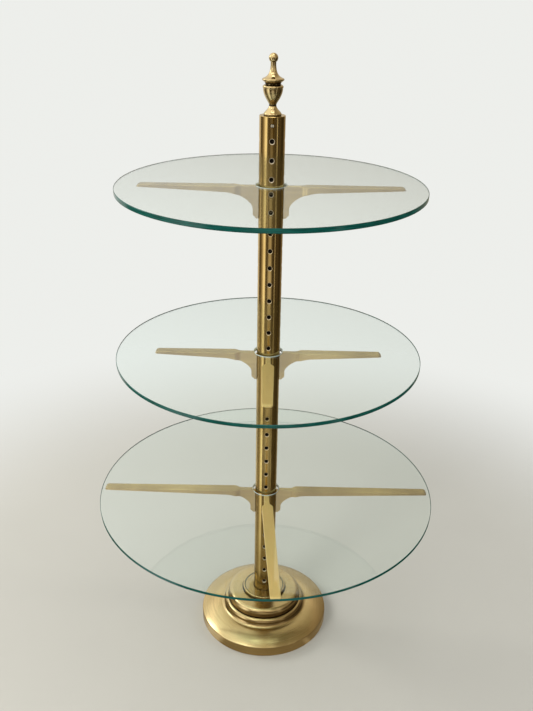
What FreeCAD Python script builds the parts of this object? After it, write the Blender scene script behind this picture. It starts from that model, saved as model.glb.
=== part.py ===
import FreeCAD, Part
import math
import os

# A free-standing round etagere: glass discs lie on brass arms that plug into a drilled brass column.
# The origin is on the floor under the column's middle. +Z is up, +X is right and -Y is the front.
# Lengths are in millimetres and angles in degrees.

V = FreeCAD.Vector

# ---- Column ----
COLUMN_D = 50.8  # outside of the tube
COLUMN_WALL = 3.0
HOLE_D = 9.0  # peg holes, in one row for each side an arm can take
HOLE_CHAMFER = 1.6
HOLE_PITCH = 36.0
HOLES_PER_ROW = 31
LOWEST_HOLE_RISE = 30.0  # from the collar's top up to the lowest hole
TOP_MARGIN = 45.0  # from the highest hole up to the column's top
TOP_PLUG_LENGTH = 25.0
FOOT_PLUG_LENGTH = 25.0
PLUG_SCREW_DROP = 16.0  # from the column's top down to the plug's screw
PLUG_SCREW_R = 2.0
PLUG_SCREW_HEAD_R = 3.3
PLUG_SCREW_LENGTH = 11.0
PLUG_SCREW_SLOT = 0.9

# ---- Glass shelves ----
TOP_GLASS_T = 9.5
MIDDLE_GLASS_T = 8.0
BOTTOM_GLASS_T = 6.5
GLASS_ARRIS = 1.0  # ground bevel on every edge of a disc
GLASS_HOLE_GAP = 4.6  # between the column and the disc around it
TOP_GLASS_D = 620.0
MIDDLE_GLASS_D = 660.0
BOTTOM_GLASS_D = 784.0
HOLES_BELOW_TOP = 27  # how many peg holes lie under each shelf's upper pegs
HOLES_BELOW_MIDDLE = 17
HOLES_BELOW_BOTTOM = 7

# ---- Arms ----
TOP_ARM_INSET = 42.0  # from the disc's rim in to the arm's tip
MIDDLE_ARM_INSET = 82.0
BOTTOM_ARM_INSET = 6.0
BLADE_ROOT_W = 26.0  # the flat bar that carries the glass
BLADE_TIP_W = 22.0
BLADE_ROOT_T = 11.5
BLADE_TIP_T = 4.5
TIP_ROLL = 9.0  # radius in which the top face rolls over at the tip
TIP_CORNER = 6.0
EDGE_ROUND = 2.0
NECK_LENGTH = 32.6  # from the column out to where the narrow neck starts to widen
SHOULDER_LENGTH = 18.0
CURVE_LENGTH = 58.0  # from the foot's outer face out to where the underside starts to curve down
CURVE_DROP = 34.0
GUSSET_PULL = 0.5  # how far along the underside's line the curve keeps its direction, as a share
GUSSET_EASE = 0.6  # where the curve turns into the foot's face, as a share of its drop
FOOT_DEPTH = 11.0  # how far the foot stands out from the column
FOOT_BELOW_PEG = 17.0
FOOT_CHAMFER = 7.0
LOWER_FRONT_LEAN = 3.5  # the lowest front arm stands turned this far to the right on its pegs

# ---- Pegs ----
PEG_DROP = 12.0  # from the arm's top face down to its upper peg
PEG_CLEARANCE = 0.05  # round the peg in its hole
PEG_REACH = 8.4  # past the tube's inside
PEG_TAIL_R = 2.75
PEG_TAIL_LENGTH = 7.8
PEG_CHAMFER = 1.0
NECK_MARGIN = 1.05  # of metal each side of a peg

# ---- Finial ----
FOOT_R = 17.3
FOOT_H = 4.2
FOOT_EDGE = 0.84  # how far each bead bulges past its flat ends
FLARE_H = 14.3
WAIST_R = 7.0
VASE_R = 19.0
VASE_H = 30.0
LIP_PROUD = 0.9
LIP_H = 4.9
RECESS_R = 15.1
RECESS_H = 4.2
FLANGE_R = 21.2
FLANGE_H = 8.2
FLANGE_EDGE = 1.6
NECK_R = 5.3
NECK_H = 23.4
BALL_R = 8.8
BALL_LIFT = 12.0  # from the neck's thinnest point up to the ball's middle
FLARE_BEND = ((0.3, 0.3), (1.0, 0.55))  # inner handles of each turned curve, as shares across and up
VASE_BEND = ((0.0, 0.15), (1.0, 0.5))
NECK_BEND = ((0.78, 0.18), (0.94, 0.44))
STUD_R = 4.0
STUD_IN_FINIAL = 14.0
STUD_IN_PLUG = 20.0

# ---- Base ----
PLINTH_R = 90.5
PLINTH_H = 23.0
PLINTH_ROUND = 12.0
PLINTH_BEVEL = 0.8
COLLAR_WIDTH = 28.0  # out from the column
COLLAR_H = 8.0
COLLAR_RIM = 3.5
COLLAR_DISH = 1.2
LEDGE = 0.6  # flat that shows outside the plinth
SHOULDER_R = 9.0
TIER_BAND = 1.0
COVE_R = 9.0
DOME_R = 94.0
DOME_FALL = 59.0  # angle of the dome's edge about its centre, above the horizontal
RIM_ROUND = 2.5
RIM_H = 24.5
RIM_LIFT = 0.8  # the rim's edge above the floor
SHELL_T = 3.0
FELT_T = 3.0
WEIGHT_EDGE_H = 15.0
WEIGHT_SLOPE_H = 12.0
BOSS_MARGIN = 5.0  # between the weight's boss and the shell
RECESS_BOLT_H = 16.0
RECESS_BOLT_R = 20.0
BOLT_R = 6.0
BOLT_HEAD_AF = 19.0
BOLT_HEAD_H = 7.5
BOLT_GRIP = 18.0  # thread in the foot plug
WASHER_R = 15.0
WASHER_T = 2.5

# ---- Clearances ----
FIT = 0.1  # between parts that slide together when the stand is put together
SEAT = 0.3  # between the column and an arm's foot
BORE_GAP = 0.5  # round the base bolt
RUNNING = 0.05  # round the finial's stud
SIDE_GAP = 1.0  # between the shell's inside and what it hides
OVERCUT = 1.0  # how far a cutter runs past what it cuts

# ---- Sizes that follow ----
column_r = COLUMN_D / 2
bore_r = column_r - COLUMN_WALL
seat_r = column_r + SEAT
peg_r = HOLE_D / 2 - PEG_CLEARANCE
neck_half = peg_r + NECK_MARGIN

tier_r = PLINTH_R + LEDGE + SHOULDER_R
dome_centre_r = tier_r + COVE_R
fall = math.radians(DOME_FALL)
rim_centre_r = dome_centre_r + (DOME_R - RIM_ROUND) * math.cos(fall)
base_r = rim_centre_r + RIM_ROUND
dome_centre_z = RIM_H - (DOME_R - RIM_ROUND) * math.sin(fall)
crest_z = dome_centre_z + DOME_R
cove_top = crest_z + COVE_R
shoulder_z = cove_top + TIER_BAND
shell_top = shoulder_z + SHOULDER_R
plinth_top = shell_top + PLINTH_H
collar_top = plinth_top + COLLAR_H
lowest_hole = collar_top + LOWEST_HOLE_RISE
column_top = lowest_hole + (HOLES_PER_ROW - 1) * HOLE_PITCH + TOP_MARGIN
foot_height = PEG_DROP + HOLE_PITCH + FOOT_BELOW_PEG

SIDES = {"right": 0.0, "rear": 90.0, "left": 180.0, "front": 270.0}
SHELVES = {
    "top": (TOP_GLASS_D, TOP_GLASS_T, HOLES_BELOW_TOP, TOP_ARM_INSET, ("right", "rear", "left")),
    "middle": (MIDDLE_GLASS_D, MIDDLE_GLASS_T, HOLES_BELOW_MIDDLE, MIDDLE_ARM_INSET, tuple(SIDES)),
    "bottom": (BOTTOM_GLASS_D, BOTTOM_GLASS_T, HOLES_BELOW_BOTTOM, BOTTOM_ARM_INSET, tuple(SIDES)),
}


# ---- Drawing helpers ----
def line(a, b):
    return Part.LineSegment(a, b).toShape()


def arc(a, middle, b):
    return Part.Arc(a, middle, b).toShape()


def swept(centre, radius, start, end):
    """Arc in the r-z half plane about a centre, between two angles in radians."""
    return arc(*(centre + V(math.cos(a), 0, math.sin(a)) * radius for a in (start, (start + end) / 2, end)))


def at(r, z):
    """Point of an outline drawn in the r-z half plane."""
    return V(r, 0, z)


def bend(a, b, handles):
    """Smooth curve between two outline points, with its inner handles as shares of the way across and up."""
    curve = Part.BezierCurve()
    curve.setPoles([a] + [a + at(across * (b.x - a.x), up * (b.z - a.z)) for across, up in handles] + [b])
    return curve.toShape()


def chain(points):
    return [line(a, b) for a, b in zip(points, points[1:])]


def turned(edges):
    """Solid of revolution about Z of a closed outline drawn in the r-z half plane."""
    return Part.Face(Part.Wire(edges)).revolve(V(0, 0, 0), V(0, 0, 1), 360)


def lathe(points):
    """Turned solid with straight sides, from its outline's (radius, height) corners."""
    corners = [at(r, z) for r, z in points]
    return turned(chain(corners + corners[:1]))


def cylinder(radius, low, high):
    return Part.makeCylinder(radius, high - low, V(0, 0, low))


def ring(inner, outer, low, high):
    return cylinder(outer, low, high).cut(cylinder(inner, low - OVERCUT, high + OVERCUT))


def laid(shape, azimuth, height):
    """Turns a shape made about +Z so that +Z points out of the column at an azimuth and height."""
    shape = shape.copy()
    shape.rotate(V(0, 0, 0), V(0, 1, 0), 90)
    return placed(shape, azimuth, height)


def placed(shape, azimuth, height):
    """Turns a shape made along +X to an azimuth about the column, and lifts it."""
    shape = shape.copy()
    shape.rotate(V(0, 0, 0), V(0, 0, 1), azimuth)
    shape.translate(V(0, 0, height))
    return shape


def save(name, shape):
    shape.exportStep(f"parts/{name}.step")


# ---- Column and what is fixed in it ----
def hole_cutters():
    """One cutter for each opposite pair of peg holes, with the chamfer at both mouths."""
    mouth = HOLE_D / 2 + HOLE_CHAMFER
    deep = column_r - HOLE_CHAMFER
    out = column_r + OVERCUT
    wide = mouth + OVERCUT
    half = [(0, 0), (HOLE_D / 2, 0), (HOLE_D / 2, deep), (mouth, column_r), (wide, out), (0, out)]
    cutter = lathe(half)
    cutter = cutter.fuse(cutter.mirror(V(0, 0, 0), V(0, 0, 1)))
    heights = [lowest_hole + k * HOLE_PITCH for k in range(HOLES_PER_ROW)]
    return [laid(cutter, azimuth, z) for z in heights for azimuth in (0, 90)]


def plug_screw(extra=0.0):
    """Countersunk screw in the column's front; extra lengthens the head outwards to cut its seat."""
    face = math.sqrt(column_r**2 - PLUG_SCREW_HEAD_R**2) - FIT
    cone = PLUG_SCREW_HEAD_R - PLUG_SCREW_R
    neck = face - cone
    tip = face - PLUG_SCREW_LENGTH
    shank = [(0, tip), (PLUG_SCREW_R, tip), (PLUG_SCREW_R, neck), (PLUG_SCREW_HEAD_R, face)]
    screw = lathe(shank + [(PLUG_SCREW_HEAD_R, face + extra), (0, face + extra)] if extra else shank + [(0, face)])
    if not extra:
        slot = Part.makeBox(PLUG_SCREW_SLOT, 3 * PLUG_SCREW_HEAD_R, PLUG_SCREW_SLOT)
        slot.translate(V(-PLUG_SCREW_SLOT / 2, -1.5 * PLUG_SCREW_HEAD_R, face - PLUG_SCREW_SLOT / 2))
        screw = screw.cut(slot)
    return laid(screw, SIDES["front"], column_top - PLUG_SCREW_DROP)


def column():
    tube = ring(bore_r, column_r, shell_top, column_top)
    return tube.cut(hole_cutters() + [plug_screw(COLUMN_WALL)])


def column_top_plug():
    plug = ring(STUD_R + RUNNING, bore_r, column_top - TOP_PLUG_LENGTH, column_top)
    return plug.cut(plug_screw(COLUMN_WALL))


def column_foot_plug():
    plug = cylinder(bore_r, shell_top, shell_top + FOOT_PLUG_LENGTH)
    return plug.cut(cylinder(BOLT_R, shell_top - OVERCUT, shell_top + BOLT_GRIP))


# ---- Finial ----
def finial():
    """Turned in one piece: foot, flared stem, vase, lip, flange, tapering neck and ball."""
    foot = column_top + FOOT_H
    waist = foot + FLARE_H
    vase = waist + VASE_H
    lip = vase + LIP_H
    recess = lip + RECESS_H
    flange = recess + FLANGE_H
    ball = flange + NECK_H + BALL_LIFT
    ball_start = ball - math.sqrt(BALL_R**2 - NECK_R**2)
    foot_edge = at(FOOT_R - FOOT_EDGE, column_top)
    foot_top = at(FOOT_R - FOOT_EDGE, foot)
    flange_low = at(FLANGE_R - FLANGE_EDGE, flange - FLANGE_H / 2)
    flange_top = at(FLANGE_R - FLANGE_EDGE, flange)
    lip_top = at(VASE_R - LIP_PROUD / 2, lip)
    turned_edges = [
        line(at(0, column_top), foot_edge),
        arc(foot_edge, at(FOOT_R, (column_top + foot) / 2), foot_top),
        bend(foot_top, at(WAIST_R, waist), FLARE_BEND),
        bend(at(WAIST_R, waist), at(VASE_R, vase), VASE_BEND),
        arc(at(VASE_R, vase), at(VASE_R + LIP_PROUD, (vase + lip) / 2), lip_top),
        *chain([lip_top, at(RECESS_R, (lip + recess) / 2), at(RECESS_R, recess), flange_low]),
        arc(flange_low, at(FLANGE_R, flange - FLANGE_H / 4), flange_top),
        bend(flange_top, at(NECK_R, flange + NECK_H), NECK_BEND),
        line(at(NECK_R, flange + NECK_H), at(NECK_R, ball_start)),
        arc(at(NECK_R, ball_start), at(BALL_R, ball), at(0, ball + BALL_R)),
        line(at(0, ball + BALL_R), at(0, column_top)),
    ]
    bore_top = column_top + STUD_IN_FINIAL + FIT
    return turned(turned_edges).cut(cylinder(STUD_R + RUNNING, column_top - OVERCUT, bore_top))


def finial_stud():
    return cylinder(STUD_R, column_top - STUD_IN_PLUG, column_top + STUD_IN_FINIAL)


# ---- Shelves ----
def glass_disc(diameter, thickness, top):
    """Disc with a hole for the column and a small bevel on all four edges."""
    inner = column_r + GLASS_HOLE_GAP
    outer = diameter / 2
    low = top - thickness
    b = min(GLASS_ARRIS, thickness / 3)
    return lathe([
        (inner, low + b), (inner + b, low), (outer - b, low), (outer, low + b),
        (outer, top - b), (outer - b, top), (inner + b, top), (inner, top - b),
    ])


def arm_side(reach):
    """Side view of an arm: flat top, rolled tip, tapering underside, curved gusset and chamfered foot."""
    start = column_r / 2
    foot_x = column_r + FOOT_DEPTH
    curve_x = foot_x + CURVE_LENGTH
    drop = math.acos(1 - BLADE_TIP_T / TIP_ROLL)
    roll_centre = at(reach - TIP_ROLL * math.sin(drop), -TIP_ROLL)
    slope = (BLADE_ROOT_T - BLADE_TIP_T) / (reach - curve_x)
    curve_start = at(curve_x, -BLADE_ROOT_T)
    curve_end = at(foot_x, -BLADE_ROOT_T - CURVE_DROP)
    kept = GUSSET_PULL * CURVE_LENGTH * slope / CURVE_DROP
    edges = [
        line(at(start, 0), roll_centre + at(0, TIP_ROLL)),
        swept(roll_centre, TIP_ROLL, math.pi / 2, math.pi / 2 - drop),
        line(at(reach, -BLADE_TIP_T), curve_start),
        bend(curve_start, curve_end, ((GUSSET_PULL, kept), (1.0, GUSSET_EASE))),
    ]
    foot = [
        curve_end, at(foot_x, FOOT_CHAMFER - foot_height), at(foot_x - FOOT_CHAMFER, -foot_height),
        at(start, -foot_height), at(start, 0),
    ]
    return Part.Face(Part.Wire(edges + chain(foot)))


def arm_plan_half(reach, side):
    """Half of an arm's outline from above, from the narrow neck to the tip; side is 1 or -1."""
    neck = neck_half * side
    root = BLADE_ROOT_W / 2 * side
    tip = BLADE_TIP_W / 2 * side
    neck_x = column_r + NECK_LENGTH
    blade_x = neck_x + SHOULDER_LENGTH
    corner = TIP_CORNER * (1 - math.sqrt(0.5))
    corner_start = V(reach - TIP_CORNER, tip, 0)
    corner_middle = V(reach - corner, tip - corner * side, 0)
    corner_end = V(reach, tip - TIP_CORNER * side, 0)
    shoulder = Part.BezierCurve()
    middle_x = (neck_x + blade_x) / 2
    shoulder.setPoles([V(neck_x, neck, 0), V(middle_x, neck, 0), V(middle_x, root, 0), V(blade_x, root, 0)])
    return [
        line(V(column_r / 2, neck, 0), V(neck_x, neck, 0)),
        shoulder.toShape(),
        line(V(blade_x, root, 0), corner_start),
        arc(corner_start, corner_middle, corner_end),
    ]


def arm_plan(reach):
    flat = BLADE_TIP_W / 2 - TIP_CORNER
    start = column_r / 2
    ends = [
        line(V(reach, -flat, 0), V(reach, flat, 0)),
        line(V(start, neck_half, 0), V(start, -neck_half, 0)),
    ]
    edges = arm_plan_half(reach, -1) + arm_plan_half(reach, 1) + ends
    return Part.Face(Part.Wire(Part.__sortEdges__(edges)))


def casting(reach):
    """One arm along +X with its top face at height 0, seated round the column."""
    width = BLADE_ROOT_W + 2 * OVERCUT
    side = arm_side(reach).extrude(V(0, width, 0))
    side.translate(V(0, -width / 2, 0))
    plan = arm_plan(reach).extrude(V(0, 0, -foot_height - OVERCUT))
    blank = side.common(plan).removeSplitter().Solids[0]
    on_top = [e for e in blank.Edges if e.BoundBox.ZMin > -0.01 and e.BoundBox.XMax > column_r]
    radius = min(EDGE_ROUND, 0.45 * BLADE_TIP_T)
    rounded = blank.makeFillet(radius, on_top)
    return rounded.cut(cylinder(seat_r, -foot_height - OVERCUT, OVERCUT)).Solids[0]


def peg(height):
    """Turned peg with a thinner tail: through the column's wall inwards, and outwards into the arm."""
    inner = bore_r - PEG_REACH
    shape = lathe([
        (0, inner), (peg_r - PEG_CHAMFER, inner), (peg_r, inner + PEG_CHAMFER), (peg_r, seat_r),
        (PEG_TAIL_R, seat_r), (PEG_TAIL_R, seat_r + PEG_TAIL_LENGTH), (0, seat_r + PEG_TAIL_LENGTH),
    ])
    return laid(shape, 0, height)


def shelf(name, diameter, thickness, holes_below, inset, sides):
    """Saves one glass disc and the arms and pegs that carry it."""
    peg_z = lowest_hole + holes_below * HOLE_PITCH
    arm_top = peg_z + PEG_DROP
    save(f"{name}_glass", glass_disc(diameter, thickness, arm_top + thickness))
    blank = casting(diameter / 2 - inset)
    pegs = [peg(-PEG_DROP), peg(-PEG_DROP - HOLE_PITCH)]
    for side in sides:
        lean = LOWER_FRONT_LEAN if (name, side) == ("bottom", "front") else 0.0
        own_pegs = [placed(p, SIDES[side], arm_top) for p in pegs]
        arm = placed(blank, SIDES[side] + lean, arm_top).cut(own_pegs)
        save(f"{name}_{side}_arm", arm.Solids[0])
        save(f"{name}_{side}_pegs", Part.makeCompound(own_pegs))


# ---- Base ----
def skin(inset):
    """Edges of the shell's surface, inset from the outside, from its flat top out and down to its rim."""
    shoulder = at(PLINTH_R + LEDGE, shoulder_z)
    cove = at(dome_centre_r, cove_top)
    dome = at(dome_centre_r, dome_centre_z)
    rim_r = base_r - inset
    edges = [
        swept(shoulder, SHOULDER_R - inset, math.pi / 2, 0),
        line(at(tier_r - inset, shoulder_z), at(tier_r - inset, cove_top)),
        swept(cove, COVE_R + inset, math.pi, 1.5 * math.pi),
    ]
    if inset:
        end = math.acos((rim_r - dome_centre_r) / (DOME_R - inset))
        low = dome + V(rim_r - dome_centre_r, 0, (DOME_R - inset) * math.sin(end))
        return edges + [swept(dome, DOME_R - inset, math.pi / 2, end), line(low, at(rim_r, RIM_LIFT))]
    return edges + [
        swept(dome, DOME_R, math.pi / 2, fall),
        swept(at(rim_centre_r, RIM_H), RIM_ROUND, fall, 0),
        line(at(base_r, RIM_H), at(base_r, RIM_LIFT)),
    ]


def base_shell():
    """Thin turned cover: short rim, dome, cove and rounded tier, open underneath."""
    hole = BOLT_R + BORE_GAP
    top_edge = at(PLINTH_R + LEDGE, shell_top)
    under_edge = at(PLINTH_R + LEDGE, shell_top - SHELL_T)
    edges = skin(0) + skin(SHELL_T) + [
        line(at(base_r, RIM_LIFT), at(base_r - SHELL_T, RIM_LIFT)),
        line(at(hole, shell_top), top_edge),
        line(at(hole, shell_top - SHELL_T), under_edge),
        line(at(hole, shell_top - SHELL_T), at(hole, shell_top)),
    ]
    return turned(Part.__sortEdges__(edges))


def base_weight():
    """Cast iron ballast that fills the shell's foot and carries its top on a boss."""
    hole = BOLT_R + BORE_GAP
    under = shell_top - SHELL_T
    edge_r = base_r - SHELL_T - SIDE_GAP
    boss_r = tier_r - SHELL_T - BOSS_MARGIN
    edge_z = FELT_T + WEIGHT_EDGE_H
    slope_z = edge_z + WEIGHT_SLOPE_H
    recess_z = FELT_T + RECESS_BOLT_H
    return lathe([
        (RECESS_BOLT_R, FELT_T), (edge_r, FELT_T), (edge_r, edge_z), (dome_centre_r, slope_z), (boss_r, slope_z),
        (boss_r, shoulder_z), (boss_r - SHOULDER_R + SHELL_T, under), (hole, under), (hole, recess_z),
        (RECESS_BOLT_R, recess_z),
    ])


def base_bolt():
    """Hexagon-headed bolt from the weight's recess up into the column's foot plug."""
    seat = FELT_T + RECESS_BOLT_H - WASHER_T
    corner = BOLT_HEAD_AF / math.sqrt(3)
    turns = [math.radians(60 * k) for k in range(7)]
    hexagon = Part.makePolygon([V(corner * math.cos(a), corner * math.sin(a), seat - BOLT_HEAD_H) for a in turns])
    head = Part.Face(hexagon).extrude(V(0, 0, BOLT_HEAD_H))
    return head.fuse(cylinder(BOLT_R, seat - OVERCUT, shell_top + BOLT_GRIP)).removeSplitter()


def base_washer():
    top = FELT_T + RECESS_BOLT_H
    return ring(BOLT_R + BORE_GAP, WASHER_R, top - WASHER_T, top)


def base_felt():
    return cylinder(base_r - SHELL_T - SIDE_GAP, 0, FELT_T)


def plinth():
    """Solid disc with a rounded upper edge, bored for the column."""
    bore = column_r + FIT
    edge = PLINTH_R - PLINTH_ROUND
    outline = chain([
        at(bore, plinth_top), at(bore, shell_top), at(PLINTH_R - PLINTH_BEVEL, shell_top),
        at(PLINTH_R, shell_top + PLINTH_BEVEL), at(PLINTH_R, plinth_top - PLINTH_ROUND),
    ])
    rounding = swept(at(edge, plinth_top - PLINTH_ROUND), PLINTH_ROUND, 0, math.pi / 2)
    return turned(outline + [rounding, line(at(edge, plinth_top), at(bore, plinth_top))])


def column_collar():
    """Ring round the column's foot, with a raised rim round a shallow dish."""
    bore = column_r + FIT
    outer = column_r + COLLAR_WIDTH
    dish = collar_top - COLLAR_DISH
    rim = outer - COLLAR_RIM
    edge = COLLAR_RIM / 2
    outline = chain([
        at(rim, collar_top), at(rim - COLLAR_DISH, dish), at(bore, dish), at(bore, plinth_top),
        at(outer, plinth_top), at(outer, collar_top - edge),
    ])
    rounding = swept(at(outer - edge, collar_top - edge), edge, 0, math.pi / 2)
    return turned(outline + [rounding, line(at(outer - edge, collar_top), at(rim, collar_top))])


def main():
    os.makedirs("parts", exist_ok=True)
    for piece in (
        column, column_top_plug, column_foot_plug, column_collar, plinth, base_shell, base_weight,
        base_bolt, base_washer, base_felt, finial, finial_stud,
    ):
        save(piece.__name__, piece())
    save("top_plug_screw", plug_screw())
    for name, details in SHELVES.items():
        shelf(name, *details)


main()
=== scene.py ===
import math
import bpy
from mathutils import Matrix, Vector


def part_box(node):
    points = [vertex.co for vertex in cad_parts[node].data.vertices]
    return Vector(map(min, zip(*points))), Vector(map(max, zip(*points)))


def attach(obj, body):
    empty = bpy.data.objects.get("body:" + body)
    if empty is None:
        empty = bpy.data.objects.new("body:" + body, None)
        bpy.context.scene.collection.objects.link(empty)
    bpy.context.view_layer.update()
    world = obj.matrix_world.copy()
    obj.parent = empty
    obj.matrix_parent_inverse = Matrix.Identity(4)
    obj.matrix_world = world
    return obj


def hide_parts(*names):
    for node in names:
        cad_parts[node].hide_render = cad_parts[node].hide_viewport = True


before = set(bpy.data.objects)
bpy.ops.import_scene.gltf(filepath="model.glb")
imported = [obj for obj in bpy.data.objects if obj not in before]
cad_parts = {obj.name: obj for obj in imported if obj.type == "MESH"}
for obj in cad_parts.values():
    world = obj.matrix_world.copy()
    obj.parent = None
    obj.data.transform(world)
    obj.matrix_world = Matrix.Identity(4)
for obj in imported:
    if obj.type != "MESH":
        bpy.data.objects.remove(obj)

from types import SimpleNamespace

import bmesh
import bpy
from mathutils import Matrix, Vector

bl_info = {
    "name": "Tiered etagere",
    "version": (1, 0, 0),
    "blender": (4, 5, 0),
    "location": "3D View > Sidebar > Etagere",
    "description": "Brass column with round glass shelves on cast arms, a turned finial and a stepped base",
    "category": "Add Mesh",
}

# The column stands on the origin, +Z is up and -Y the front. The frame's places, the users' values and the stage are
# in metres; outlines and the pieces' tables of sizes are in millimetres.
MM = 0.001
FULL_TURN = 360
# Tolerances in metres, for points in one place and for a length of nought
SAME_PLACE = 1e-6
NOUGHT = 1e-9


# ---- Places that come from the frame ----
def radius_of(node):
    """Outer radius of a CAD node that is round about the column's axis."""
    low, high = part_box(node)
    return max(high.x, high.y, -low.x, -low.y)


COLUMN_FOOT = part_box("column")[0].z
COLUMN_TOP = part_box("column")[1].z
COLUMN_R = 25.4 * MM
SHELL_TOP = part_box("base_shell")[1].z
PLINTH_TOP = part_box("plinth")[1].z
COLLAR_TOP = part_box("column_collar")[1].z
TIERS = {"top": ("right", "rear", "left"), "middle": ("right", "rear", "left", "front")}
TIERS["bottom"] = TIERS["middle"]
AZIMUTHS = {"right": 0.0, "rear": 90.0, "left": 180.0, "front": 270.0}
PEG_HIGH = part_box("bottom_right_pegs")[1].z
HOLE_PITCH = 36.0 * MM
PEG_R = 4.45 * MM
HOLES_BELOW_BOTTOM = 7
LOWEST_HOLE = PEG_HIGH - PEG_R - HOLES_BELOW_BOTTOM * HOLE_PITCH
HOLES_PER_ROW = 31


# ---- Values that a user would change ----
def length_value(name, description, default):
    return bpy.props.FloatProperty(
        name=name, description=description, default=default, subtype="DISTANCE", unit="LENGTH"
    )


def colour_value(name, description, default):
    return bpy.props.FloatVectorProperty(
        name=name, description=description, default=default, size=3, subtype="COLOR"
    )


class EtagereColumn(bpy.types.PropertyGroup):
    wall: length_value("Wall", "Thickness of the tube", 3.0 * MM)
    hole: length_value("Hole", "Bore of the peg holes", 9.0 * MM)
    chamfer: length_value("Chamfer", "Width of the bevel round a peg hole", 1.3 * MM)


class EtagereShelves(bpy.types.PropertyGroup):
    arris: length_value("Arris", "Ground bevel on the edges of the glass", 1.0 * MM)
    edge_round: length_value("Edge rounding", "Radius along the upper edges of an arm", 2.0 * MM)
    glass: colour_value("Glass", "Tint of the clear glass", (0.915, 0.985, 0.975))
    edge: colour_value("Glass edge", "Colour that shows at the edge of a disc", (0.003, 0.068, 0.054))


class EtagereBrass(bpy.types.PropertyGroup):
    bright: colour_value("Brass", "Colour of the clean metal", (0.71, 0.51, 0.20))
    aged: colour_value("Aged brass", "Colour where the metal has darkened", (0.43, 0.275, 0.085))
    satin: colour_value("Satin brass", "Colour of the base and the finial", (0.74, 0.575, 0.29))
    dull: colour_value("Dull brass", "Colour where the satin metal has darkened", (0.47, 0.33, 0.14))
    cast: colour_value("Cast brass", "Colour of the arms", (0.88, 0.66, 0.25))


class EtagereStage(bpy.types.PropertyGroup):
    floor: colour_value("Floor", "Colour of the floor", (0.53, 0.515, 0.46))
    backdrop: colour_value("Backdrop", "Colour behind the floor", (0.85, 0.86, 0.83))
    key: bpy.props.FloatProperty(
        name="Window light", description="Power of the large lamp behind on the left", default=42.0, unit="POWER"
    )


# ---- Outlines, in millimetres in the half plane of radius and height ----
def arc(centre, radius, start, end, steps):
    """Points of an arc between two angles in degrees."""
    turns = [math.radians(start + (end - start) * i / steps) for i in range(steps + 1)]
    return [(centre[0] + radius * math.cos(t), centre[1] + radius * math.sin(t)) for t in turns]


def arc_through(a, b, c, steps):
    """Points of the arc from a through b to c."""
    d = 2 * (a[0] * (b[1] - c[1]) + b[0] * (c[1] - a[1]) + c[0] * (a[1] - b[1]))
    squares = [p[0] ** 2 + p[1] ** 2 for p in (a, b, c)]
    x = (squares[0] * (b[1] - c[1]) + squares[1] * (c[1] - a[1]) + squares[2] * (a[1] - b[1])) / d
    y = (squares[0] * (c[0] - b[0]) + squares[1] * (a[0] - c[0]) + squares[2] * (b[0] - a[0])) / d
    first, middle, last = (math.degrees(math.atan2(p[1] - y, p[0] - x)) for p in (a, b, c))
    forward = (middle - first) % FULL_TURN < (last - first) % FULL_TURN
    sweep = (last - first) % FULL_TURN if forward else (last - first) % FULL_TURN - FULL_TURN
    return arc((x, y), math.dist((x, y), a), first, first + sweep, steps)


def bend(a, b, handles, steps):
    """Points of a smooth curve whose inner handles are shares of the way across and up."""
    poles = [a] + [(a[0] + u * (b[0] - a[0]), a[1] + v * (b[1] - a[1])) for u, v in handles] + [b]
    curve = []
    for i in range(steps + 1):
        t = i / steps
        weights = ((1 - t) ** 3, 3 * t * (1 - t) ** 2, 3 * t * t * (1 - t), t**3)
        curve.append(tuple(sum(w * p[k] for w, p in zip(weights, poles)) for k in (0, 1)))
    return curve


# ---- Modelling helpers ----
def rotation(degrees, axis):
    return Matrix.Rotation(math.radians(degrees), 4, axis)


def lifted(height):
    return Matrix.Translation((0, 0, height))


def deselect():
    if bpy.context.object and bpy.context.object.mode != "OBJECT":
        bpy.ops.object.mode_set(mode="OBJECT")
    bpy.ops.object.select_all(action="DESELECT")


def use(obj):
    """Makes an object the only selected one, and the active one."""
    deselect()
    obj.select_set(True)
    bpy.context.view_layer.objects.active = obj
    return obj


def named(name):
    obj = bpy.context.object
    obj.name = name
    obj.data.name = name
    return obj


def pick(obj, test):
    """In edit mode, selects the vertices whose place passes the test."""
    mesh = bmesh.from_edit_mesh(obj.data)
    for vertex in mesh.verts:
        vertex.select_set(test(vertex.co))
    mesh.select_flush(True)
    bmesh.update_edit_mesh(obj.data)


def modify(obj, kind, **settings):
    """Adds a modifier and applies it."""
    use(obj)
    modifier = obj.modifiers.new(kind, kind)
    for key, value in settings.items():
        setattr(modifier, key, value)
    bpy.ops.object.modifier_apply(modifier=modifier.name)


def cut(obj, cutter):
    """Cuts one object with another, whose materials it takes over and which is then removed."""
    modify(obj, "BOOLEAN", operation="DIFFERENCE", object=cutter, solver="EXACT", material_mode="TRANSFER")
    mesh = cutter.data
    bpy.data.objects.remove(cutter)
    bpy.data.meshes.remove(mesh)


def settle(obj):
    """Puts an object's place into its mesh."""
    use(obj)
    bpy.ops.object.transform_apply(location=True, rotation=True, scale=True)
    return obj


def smooth(obj, degrees=32, weighted=True):
    """Smooth shading that keeps sharp edges and the flatness of large faces."""
    use(obj)
    bpy.ops.object.shade_smooth_by_angle(angle=math.radians(degrees))
    if weighted:
        modify(obj, "WEIGHTED_NORMAL", keep_sharp=True, weight=60)
    return obj


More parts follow.
